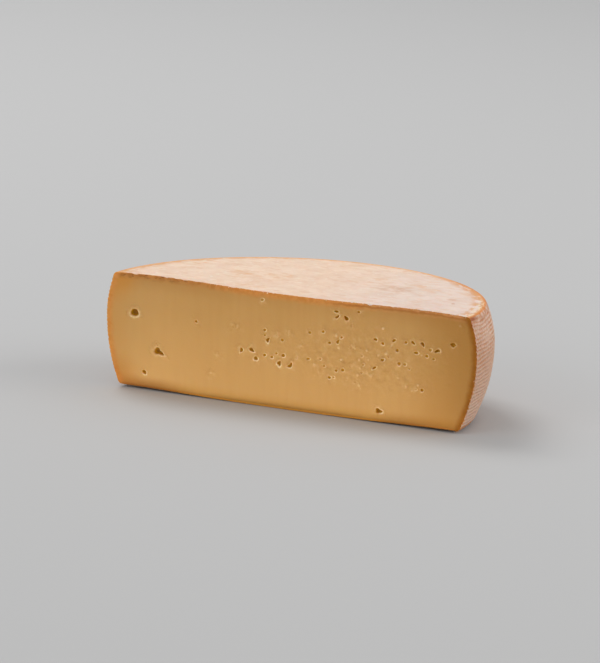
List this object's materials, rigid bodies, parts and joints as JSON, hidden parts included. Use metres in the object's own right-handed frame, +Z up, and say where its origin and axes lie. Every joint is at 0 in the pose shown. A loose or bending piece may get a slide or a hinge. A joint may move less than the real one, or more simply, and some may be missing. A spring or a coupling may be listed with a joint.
{
  "type": "raclette half wheel",
  "caption": "Half of a round washed-rind raclette cheese: a flat cut with small eyes, a bulging heel with cloth ridges and pale flat faces, resting on its underside.",
  "frame": {"origin": "on the base plane, in the middle of the half wheel's length along the cut and of its depth from the cut to the heel", "axes": "+X along the cut's long side, -Y out of the flat cut, +Z up out of the pale upper face"},
  "size_m": [0.28, 0.14, 0.0814],
  "materials": {
    "rind": "dry washed rind, pale pinkish cream with orange-tan edges and cloth marks; the cut paste is a warm yellow-tan"
  },
  "bodies": {
    "root": {"half_wheel": "rind"}
  },
  "joints": []
}
